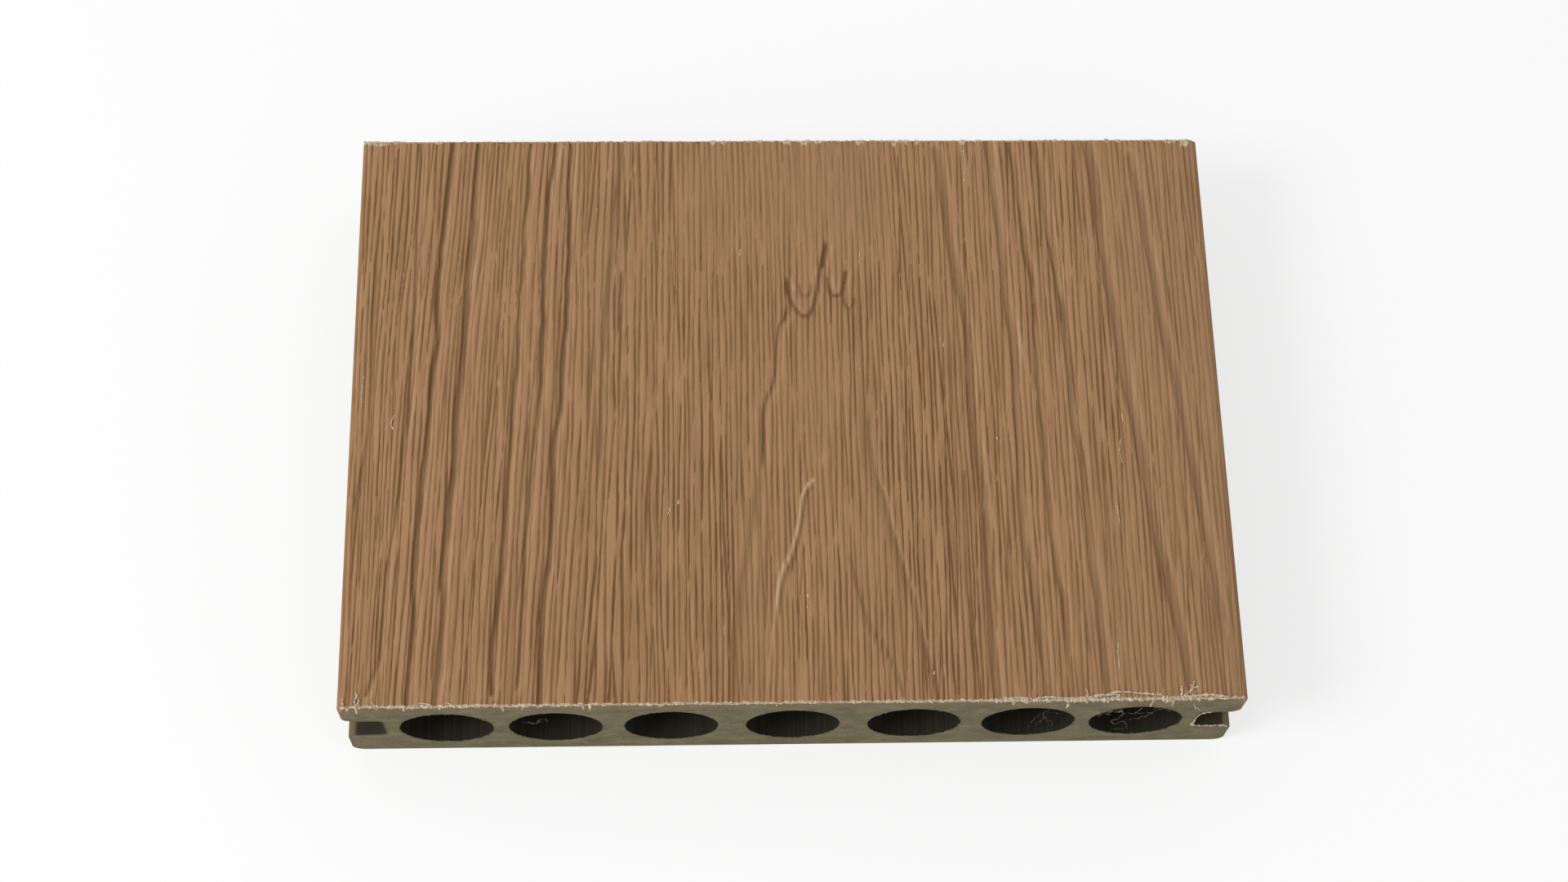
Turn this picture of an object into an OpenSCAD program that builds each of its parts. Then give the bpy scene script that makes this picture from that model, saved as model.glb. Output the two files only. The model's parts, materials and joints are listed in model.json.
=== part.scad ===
// Hollow capped composite deck board, a sample cut from the full length.
// The profile is extruded along Y. The board lies flat, grained face up,
// with the origin at the middle of its underside.

/* [Board] */
// Overall width, across the lips
board_w = 138; // [130:1:150]
// Overall thickness
board_t = 22.5; // [21:0.5:26]
// Length between the two sawn ends
board_l = 97; // [60:1:600]
// Radius along the two upper edges
top_edge_r = 1.2; // [0.9:0.1:2]
// Radius along the two lower edges
bottom_edge_r = 2; // [0.9:0.1:3]

/* [Cap] */
// Thickness of the coloured cap on the top, the sides and the walls of the grooves
cap_t = 0.6; // [0.3:0.1:0.8]

/* [Clip grooves] */
// Height of the lower lip, from the underside to the groove
lower_lip_t = 7.8; // [6:0.1:9]
// Height of each groove
groove_h = 7; // [5:0.1:8]
// Depth of each groove, from the side of the board
groove_depth = 6; // [4:0.1:8]
// Radius in the two corners at the back of each groove
groove_root_r = 1; // [0.5:0.1:2]
// Radius on the upper lip, at the groove's mouth
upper_lip_r = 1.6; // [0.9:0.1:2.5]
// Radius on the lower lip, at the groove's mouth
lower_lip_r = 1; // [0.9:0.1:2.5]

/* [Hollow chambers] */
// Diameter of each round chamber
chamber_d = 14.6; // [10:0.1:15]
// Wall under each chamber
floor_t = 3.6; // [2.5:0.1:5]
// Wall between the outer chambers and the grooves, cap included
side_wall_t = 2.3; // [1.5:0.1:4]
// Thinnest web allowed between two chambers
min_web_t = 2; // [1.5:0.1:4]
// How much the chambers close up towards the sides of the board
crowding = 0.085; // [0:0.005:0.15]

/* [Hidden] */
$fn = 96;

// How far a cut runs past the faces it goes through
overrun = 1;

// Chambers: the outer ones stand a wall away from the grooves, and as many as fit lie between
chamber_r = chamber_d / 2;
chamber_z = floor_t + chamber_r;
outer_x = board_w / 2 - groove_depth - side_wall_t - chamber_r;
per_side = floor(outer_x / (chamber_d + min_web_t));

// Where the k-th chamber from the middle stands, with k from -per_side to per_side
function chamber_x(k) =
    let (u = abs(k) / per_side)
    sign(k) * outer_x * u * (1 + crowding * (1 - u));

// A rectangle from (x0, z0) to (x1, z1), with one radius on its lower corners and one on its upper corners
module rounded_slab(x0, x1, z0, z1, low_r, high_r) {
    translate([x0 + low_r, z0])
        square([x1 - x0 - 2 * low_r, (z1 - z0) / 2]);
    translate([x0 + high_r, (z0 + z1) / 2])
        square([x1 - x0 - 2 * high_r, (z1 - z0) / 2]);
    translate([x0, z0 + low_r])
        square([x1 - x0, z1 - z0 - low_r - high_r]);
    for (x = [x0 + low_r, x1 - low_r])
        translate([x, z0 + low_r]) circle(r = low_r);
    for (x = [x0 + high_r, x1 - high_r])
        translate([x, z1 - high_r]) circle(r = high_r);
}

// The board's outline in the X-Z plane, drawn in by inset on every side
module outline(inset) {
    half_w = board_w / 2 - inset;
    groove_x = board_w / 2 - groove_depth - inset;
    groove_z0 = lower_lip_t - inset;
    groove_z1 = lower_lip_t + groove_h + inset;
    root_r = groove_root_r + inset;

    // Lower lips and the bottom wall
    rounded_slab(-half_w, half_w, inset, groove_z0,
                 bottom_edge_r - inset, lower_lip_r - inset);
    // Upper lips and the wall under the grained face
    rounded_slab(-half_w, half_w, groove_z1, board_t - inset,
                 upper_lip_r - inset, top_edge_r - inset);
    // What stands between the two grooves, with a radius in each root corner
    difference() {
        translate([-groove_x - root_r, inset + bottom_edge_r])
            square([2 * (groove_x + root_r), board_t - 2 * inset - bottom_edge_r - top_edge_r]);
        for (side = [-1, 1])
            scale([side, 1])
                rounded_slab(groove_x, half_w + overrun, groove_z0, groove_z1, root_r, root_r);
    }
}

// The core's outline: drawn in by the cap's thickness, but at full size up to the cap's lower edges
module core_outline() {
    outline(cap_t);
    intersection() {
        outline(0);
        translate([-board_w / 2, 0]) square([board_w, bottom_edge_r]);
    }
}

// Runs a drawing in the X-Z plane along the board, centred on the origin
module along_board(length) {
    rotate([90, 0, 0])
        linear_extrude(height = length, center = true)
            children();
}

// Wood-plastic core, with its round chambers running right through
module core() {
    color([0.43, 0.40, 0.31])
        difference() {
            along_board(board_l) core_outline();
            for (k = [-per_side : per_side])
                translate([chamber_x(k), 0, chamber_z])
                    rotate([90, 0, 0])
                        cylinder(r = chamber_r, h = board_l + 2 * overrun, center = true);
        }
}

// Coloured cap, extruded onto the core over its top, sides and grooves, but not its underside
module cap() {
    color([0.60, 0.46, 0.33])
        difference() {
            along_board(board_l) outline(0);
            along_board(board_l + 2 * overrun) core_outline();
        }
}

core();
cap();
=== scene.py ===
"""Looks for a short sawn sample of hollow, capped deck board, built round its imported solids.

The board lies along Y, with its grained face up. Its own measures are in millimetres here, x across
the board from its middle and y along it, and places on the grained face are given as (x, v), where v
is the distance from the near sawn end. Blender's objects are in metres.
"""

import json
import math

import bmesh
import bpy
import numpy as np
from mathutils import Matrix, Vector

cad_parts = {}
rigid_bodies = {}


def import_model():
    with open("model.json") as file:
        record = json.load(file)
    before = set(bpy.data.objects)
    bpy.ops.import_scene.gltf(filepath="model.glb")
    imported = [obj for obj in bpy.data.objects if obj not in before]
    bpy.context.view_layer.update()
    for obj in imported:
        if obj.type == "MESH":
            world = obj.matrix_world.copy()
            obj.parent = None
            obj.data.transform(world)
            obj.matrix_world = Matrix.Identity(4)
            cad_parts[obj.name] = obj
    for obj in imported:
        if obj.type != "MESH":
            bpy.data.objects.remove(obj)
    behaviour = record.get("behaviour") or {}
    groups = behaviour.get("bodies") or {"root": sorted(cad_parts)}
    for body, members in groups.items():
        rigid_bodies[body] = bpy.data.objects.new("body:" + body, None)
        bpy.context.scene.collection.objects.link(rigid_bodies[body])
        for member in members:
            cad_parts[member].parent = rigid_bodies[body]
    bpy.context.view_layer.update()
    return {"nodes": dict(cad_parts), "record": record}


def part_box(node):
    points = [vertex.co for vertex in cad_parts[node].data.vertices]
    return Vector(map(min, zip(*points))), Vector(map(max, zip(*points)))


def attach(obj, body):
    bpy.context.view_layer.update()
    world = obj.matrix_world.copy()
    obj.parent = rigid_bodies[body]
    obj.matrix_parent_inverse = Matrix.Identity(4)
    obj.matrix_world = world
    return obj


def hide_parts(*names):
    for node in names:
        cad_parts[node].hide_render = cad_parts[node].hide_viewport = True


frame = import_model()

MM = 0.001
CAP_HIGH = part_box("cap")[1] / MM
HALF_W, HALF_L, TOP = CAP_HIGH.x, CAP_HIGH.y, CAP_HIGH.z
CHAMBERS = [m for m in frame["record"]["mounts"] if m["kind"] == "bore"]
CHAMBER_R = CHAMBERS[0]["dims"]["r_mm"]
# Heights of the clip grooves' roof and floor with their rounded corners, and how far in they reach
GROOVE_ROOF, GROOVE_FLOOR, GROOVE_REACH = 15.5, 8.0, 7.6


def chamber_centre(number):
    """Middle of a chamber's mouth in the near end, as (x, z), counted from the left from 1."""
    x, _, z = CHAMBERS[number - 1]["pos_m"]
    return x / MM, z / MM


# Colours, written as sRGB bytes.

def paint(red, green, blue):
    """A linear colour from sRGB bytes."""
    def linear(byte):
        c = byte / 255
        return c / 12.92 if c <= 0.04045 else ((c + 0.055) / 1.055) ** 2.4
    return (linear(red), linear(green), linear(blue), 1.0)


RIDGE_LIT = paint(190, 157, 125)
RIDGE_TOP = paint(168, 129, 94)
RIDGE_MID = paint(148, 111, 77)
RIDGE_FOOT = paint(114, 79, 48)
GREYED = paint(141, 115, 87)
DEEP_GROOVE = paint(105, 78, 51)
CAP_SAWN = paint(176, 133, 98)
CAP_SHADED = paint(53, 49, 38)
LIP_OLIVE = paint(108, 99, 74)
SAWN_CORE = paint(107, 99, 73)
SAWN_CORE_PALE = paint(124, 117, 90)
SAWN_CORE_DARK = paint(84, 75, 54)
SAWN_DUSTED = paint(140, 118, 91)
RUSTY_SPECK = paint(128, 92, 62)
GRITTY_PALE = paint(142, 134, 110)
DIE_SKIN = paint(84, 76, 58)
CHAMBER_PAINTED_SHADE = paint(34, 33, 26)
TORN_PALE = paint(203, 190, 166)
TORN_TAN = paint(186, 162, 135)
SCRAP_PALE = paint(104, 98, 77)
SCRAP_OLIVE = paint(66, 62, 47)
FLOOR_WHITE = paint(250, 250, 250)
PLASTIC_IOR = 1.47


# Node trees.

class Wire:
    """An output socket. Arithmetic on it adds Math nodes to its tree."""

    def __init__(self, tree, socket):
        self.tree, self.socket = tree, socket

    def _math(self, operation, *values, clamp=False):
        return self.tree.add("ShaderNodeMath", dict(enumerate(values)), operation=operation,
                             use_clamp=clamp)

    def __add__(self, other): return self._math("ADD", self, other)
    def __sub__(self, other): return self._math("SUBTRACT", self, other)
    def __rsub__(self, other): return self._math("SUBTRACT", other, self)
    def __mul__(self, other): return self._math("MULTIPLY", self, other)
    def __gt__(self, other): return self._math("GREATER_THAN", self, other)
    def __lt__(self, other): return self._math("LESS_THAN", self, other)
    def __abs__(self): return self._math("ABSOLUTE", self)
    __radd__, __rmul__ = __add__, __mul__

    def clamped(self): return self._math("ADD", self, 0.0, clamp=True)

    def between(self, low, high):
        """0 below low, 1 above high, and smooth between them."""
        return self.tree.add("ShaderNodeMapRange", {0: self, 1: low, 2: high},
                             interpolation_type="SMOOTHSTEP")


class Tree:
    """A shader or geometry node tree, and the one method that adds a node to it."""

    def __init__(self, nodes, links):
        self.nodes, self.links = nodes, links

    def add(self, kind, sockets=None, output=0, **settings):
        """Adds a node with its settings, fills its sockets, by name or number, and gives one output."""
        node = self.nodes.new(kind)
        for key, value in settings.items():
            setattr(node, key, value)
        for key, value in (sockets or {}).items():
            if isinstance(value, Wire):
                self.links.new(value.socket, node.inputs[key])
            else:
                node.inputs[key].default_value = value
        return Wire(self, node.outputs[output])

    def mix(self, amount, first, second):
        """The first colour where amount is 0 and the second where it is 1."""
        return self.add("ShaderNodeMix", {0: amount, 6: first, 7: second}, 2, data_type="RGBA")

    def vector_math(self, operation, *values, output=0, **named):
        return self.add("ShaderNodeVectorMath", dict(enumerate(values), **named), output,
                        operation=operation)

    def noise(self, place, scale, detail=3.0, roughness=0.55, distortion=0.0):
        """Noise about 0.5, with scale in features to the metre along each axis."""
        stretched = self.vector_math("MULTIPLY", place, scale)
        return self.add("ShaderNodeTexNoise", {"Vector": stretched, "Scale": 1.0, "Detail": detail,
                                               "Roughness": roughness, "Distortion": distortion})

    def vector(self, x, y, z=0.0):
        return self.add("ShaderNodeCombineXYZ", {0: x, 1: y, 2: z})

    def attribute(self, name):
        return self.add("ShaderNodeAttribute", {}, 2, attribute_name=name)

    def place(self):
        """Object coordinates, and their three parts in metres."""
        point = self.add("ShaderNodeTexCoord", {}, "Object")
        split = self.add("ShaderNodeSeparateXYZ", {0: point}).socket.node
        return (point, *(Wire(self, s) for s in split.outputs))


def matte_material(name, specular=0.28):
    """A new material with its tree and its Principled shader, whose constant sockets are set here."""
    material = bpy.data.materials.new(name)
    material.use_nodes = True
    tree = Tree(material.node_tree.nodes, material.node_tree.links)
    shader = material.node_tree.nodes["Principled BSDF"]
    shader.inputs["IOR"].default_value = PLASTIC_IOR
    shader.inputs["Specular IOR Level"].default_value = specular
    return material, tree, shader


def connect(tree, shader, colour, roughness, height, depth_mm):
    """Leads a colour, a roughness and a height to the shader."""
    bump = tree.add("ShaderNodeBump", {"Strength": 1.0, "Distance": depth_mm * MM, "Height": height})
    for wire, name in ((colour, "Base Color"), (roughness, "Roughness"), (bump, "Normal")):
        tree.links.new(wire.socket, shader.inputs[name])


def grained_cap_material():
    """Its attribute turn counts the ridges; crest is 0 in the line between two of them, 1 on top."""
    material, tree, shader = matte_material("grained_cap_finish", specular=0.2)
    point, x, y, z = tree.place()
    turn, crest, size, relief, grey, deep, torn = (tree.attribute(name) for name in (
        "turn", "crest", "size", "relief", "grey", "deep", "torn"))
    strands = tree.noise(tree.vector(turn, y), (2.4, 95, 1), detail=4, roughness=0.65)
    bundles = tree.noise(tree.vector(turn, y), (0.75, 24, 1), detail=1)
    frays = tree.noise(tree.vector(turn, y), (1.6, 110, 1), detail=2)
    clouds = tree.noise(point, (70, 28, 70), detail=2)
    # Darker along the lines between ridges, towards RIDGE_FOOT: partly the grain's own colour, partly
    # painted shade
    foot = (crest + (frays - 0.5) * 0.7 + (bundles - 0.5) * 0.4).between(0.8, 0.05) * size
    liveliness = 0.35 + 0.65 * size
    # The near half of the board is a shade darker than the far half
    tone = (foot * 0.84 + (1 - size) * 0.13 + relief + (strands - 0.5) * 1.7 * liveliness
            + (bundles - 0.5) * 0.25 * liveliness + (clouds - 0.5) * 0.2 - y * 1.5 - 0.01)
    colour = tree.mix(tone.between(-0.25, 0.45), RIDGE_TOP, RIDGE_MID)
    colour = tree.mix(tone.between(0.30, 1.15), colour, RIDGE_FOOT)
    colour = tree.mix(tone.between(-0.35, -1.3), colour, RIDGE_LIT)
    colour = tree.mix((grey + (clouds - 0.5) * 0.4).clamped() * 0.6, colour, GREYED)
    # Grooves are darkened towards DEEP_GROOVE: partly their own colour, partly painted shade
    colour = tree.mix((deep * (0.55 + strands * 0.9)).clamped() * 0.85, colour, DEEP_GROOVE)
    whitened = (torn * 1.2 + (frays - 0.5) * 1.6 - 0.2).between(0.2, 0.6)
    colour = tree.mix(whitened, colour, tree.mix(frays.between(0.45, 0.6), TORN_TAN, TORN_PALE))
    # The clip grooves' walls are painted dark olive: painted shade under the upper lip
    in_groove = abs(x).between((HALF_W - 0.5) * MM, (HALF_W - 1.5) * MM) * (z < GROOVE_ROOF * MM)
    colour = tree.mix(in_groove, colour, CAP_SHADED)
    # Only the upper part shows the brown cap; the lower lips and the sawn bands under it are olive
    lower = z.between((GROOVE_FLOOR + 1.5) * MM, GROOVE_FLOOR * MM) * (1 - in_groove)
    colour = tree.mix(lower, colour, LIP_OLIVE)
    sawn = abs(y) > (HALF_L - 0.03) * MM
    band = tree.mix(z.between(18.5 * MM, 21.0 * MM), LIP_OLIVE, CAP_SAWN)
    colour = tree.mix(sawn * (0.6 + strands * 0.4), colour, band)
    roughness = 0.64 + strands * 0.2
    connect(tree, shader, colour, roughness, strands * 0.8 + frays * 0.4 - foot * 0.7, 0.05)
    return material


def core_material():
    """Sawn ends are speckled and scored; what the die formed is darker, smoother and drawn along Y. The
    chambers' insides are painted near-black as painted shade.
    """
    material, tree, shader = matte_material("wood_plastic_core_finish", specular=0.18)
    point, x, y, z = tree.place()
    sawn = abs(y) > (HALF_L - 0.06) * MM
    specks = tree.noise(point, (5200, 5200, 5200), detail=2, roughness=0.7)
    flour = tree.noise(point, (1500, 1500, 2100), detail=4, roughness=0.65)
    smears = tree.noise(point, (260, 260, 420), detail=3, distortion=0.6)
    scores = tree.noise(point, (420, 420, 5200), detail=3, roughness=0.5)
    cut = tree.mix(smears.between(0.35, 0.7), SAWN_CORE, SAWN_CORE_PALE)
    cut = tree.mix(flour.between(0.52, 0.72) * 0.7, cut, SAWN_CORE_DARK)
    streaks = tree.noise(point, (210, 210, 1300), detail=4, roughness=0.6, distortion=0.8)
    cut = tree.mix(streaks.between(0.57, 0.70) * 0.75, cut, SAWN_CORE_DARK)
    cut = tree.mix(specks.between(0.58, 0.74) * 0.5, cut, RUSTY_SPECK)
    cut = tree.mix((1 - specks).between(0.56, 0.74) * 0.6, cut, GRITTY_PALE)
    cut = tree.mix(z.between(17.5 * MM, 22.0 * MM) * 0.4, cut, SAWN_DUSTED)
    lines = tree.noise(point, (2200, 18, 2200), detail=3)
    drawn = tree.mix(lines.between(0.3, 0.75), DIE_SKIN, SAWN_CORE)
    # The chambers' insides are painted near-black: painted shade where little light gets in
    chamber_low, chamber_high = (chamber_centre(1)[1] + side * (CHAMBER_R + 0.2) for side in (-1, 1))
    inside = (z > chamber_low * MM) * (z < chamber_high * MM) * (abs(x) < (HALF_W - GROOVE_REACH) * MM)
    drawn = tree.mix(inside, drawn, tree.mix(lines.between(0.3, 0.8) * 0.2, CHAMBER_PAINTED_SHADE, DIE_SKIN))
    colour = tree.mix(sawn, drawn, cut)
    roughness = 0.58 + sawn * 0.22 + inside * (1 - sawn) * 0.34 + (flour - 0.5) * 0.2
    height = sawn * (flour * 0.9 + specks * 0.3 + scores * 0.8) + (1 - sawn) * lines * 0.25
    connect(tree, shader, colour, roughness, height, 0.06)
    return material


def torn_material(name, pale, tan):
    """Plastic that the saw tore and whitened."""
    material, tree, shader = matte_material(name)
    point = tree.place()[0]
    patches = tree.noise(point, (1300, 1300, 1300), detail=3)
    grains = tree.noise(point, (5200, 5200, 5200), detail=2)
    colour = tree.mix(patches.between(0.40, 0.62), pale, tan)
    connect(tree, shader, colour, 0.6 + patches * 0.3, grains + patches, 0.04)
    return material


# Relief of the grained face. Random draws keep their order, so the same grain comes out each run.

def smooth_share(value, low, high):
    """0 below low, 1 above high, and smooth between them."""
    t = np.clip((value - low) / (high - low), 0, 1)
    return t * t * (3 - 2 * t)


def steps(x, v, across, along, seed):
    """Smooth noise from -1 to 1: strips of one width, each with its own slow change along the board."""
    rng = np.random.default_rng(seed)
    columns = int(2 * (HALF_W + 8) / across) + 4
    rows = int(2 * (HALF_L + 2) / along) + 4
    values = rng.uniform(-1, 1, (rows, columns))
    start = rng.uniform(0, 1, columns)
    place = (x + HALF_W + 8) / across
    column = np.clip(place.astype(int), 0, columns - 2)
    share = smooth_share(place - column, 0, 1)
    result = np.zeros_like(x)
    for side, weight in ((0, 1 - share), (1, share)):
        far = (v + 1) / along + start[column + side]
        row = np.clip(far.astype(int), 0, rows - 2)
        t = smooth_share(far - row, 0, 1)
        strip = column + side
        result += weight * (values[row, strip] * (1 - t) + values[row + 1, strip] * t)
    return result


def ripple(x, across, seed, along=40.0):
    """The same noise along a line that runs across the board."""
    return steps(x, 0 * x, across, along, seed)


def strokes(across, along, slim, seed):
    """Strokes side by side with tapering ends (stretched Voronoi cells). A stroke is about 1 wide and
    1 long in across and along, and slim times as wide as long on the board. Gives how far each place
    is from its stroke's border, in widths, and its stroke's number from -1 to 1."""
    rng = np.random.default_rng(seed)
    across, along = across + 200, along + 2
    shift_across, shift_along, number = rng.uniform(-1, 1, (3, 400, 20))
    i, j = across.astype(int), along.astype(int)
    blank = np.full(across.shape, 9.0)
    first, second = [blank] * 4, [blank] * 4
    for di in (-1, 0, 1):
        for dj in (-1, 0, 1):
            cell = i + di, j + dj
            dx = cell[0] + 0.5 + 0.26 * shift_across[cell] - across
            dy = cell[1] + 0.5 + 0.5 * shift_along[cell] - along
            here = [np.hypot(dx, dy), dx, dy, number[cell]]
            nearest, next_nearest = here[0] < first[0], here[0] < second[0]
            second = [np.where(nearest, f, np.where(next_nearest, h, s))
                      for f, h, s in zip(first, here, second)]
            first = [np.where(nearest, h, f) for f, h in zip(first, here)]
    gap_x, gap_y = second[1] - first[1], second[2] - first[2]
    border = (second[0] ** 2 - first[0] ** 2) / (2 * np.hypot(gap_x, gap_y * slim))
    # Borders that run across the strokes fade out
    crossing = 1 - smooth_share(np.abs(gap_x) / np.hypot(gap_x, gap_y), 0.15, 0.6)
    return border + 0.5 * crossing, first[3]


def rounded_route(points, pieces=5):
    """A smooth route through given points (a Catmull-Rom spline)."""
    p = np.array([points[0], *points, points[-1]], float)
    t = np.linspace(0, 1, pieces, endpoint=False)[:, None]
    out = []
    for a, b, c, d in zip(p[:-3], p[1:-2], p[2:-1], p[3:]):
        out.append(b + 0.5 * t * (c - a + t * (2 * a - 5 * b + 4 * c - d + t * (3 * (b - c) + d - a))))
    return np.vstack([*out, p[-1:]])


def off_route(x, v, route):
    """Distance to a route, plus on its left as one travels it, and the share of its length done."""
    near = np.full(x.shape, 1e9)
    side, share = np.zeros(x.shape), np.zeros(x.shape)
    steps_along = np.hypot(*(route[1:] - route[:-1]).T)
    done = np.concatenate([[0], np.cumsum(steps_along)])
    for (x0, v0), (x1, v1), begun, length in zip(route[:-1], route[1:], done, steps_along):
        if length < 1e-9:
            continue
        dx, dv = x1 - x0, v1 - v0
        t = np.clip(((x - x0) * dx + (v - v0) * dv) / length ** 2, 0, 1)
        gap = np.hypot(x0 + t * dx - x, v0 + t * dv - v)
        closer = gap < near
        near = np.where(closer, gap, near)
        side = np.where(closer, np.sign(dx * (v - v0) - dv * (x - x0)), side)
        share = np.where(closer, (begun + t * length) / done[-1], share)
    return near * side, share


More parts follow.
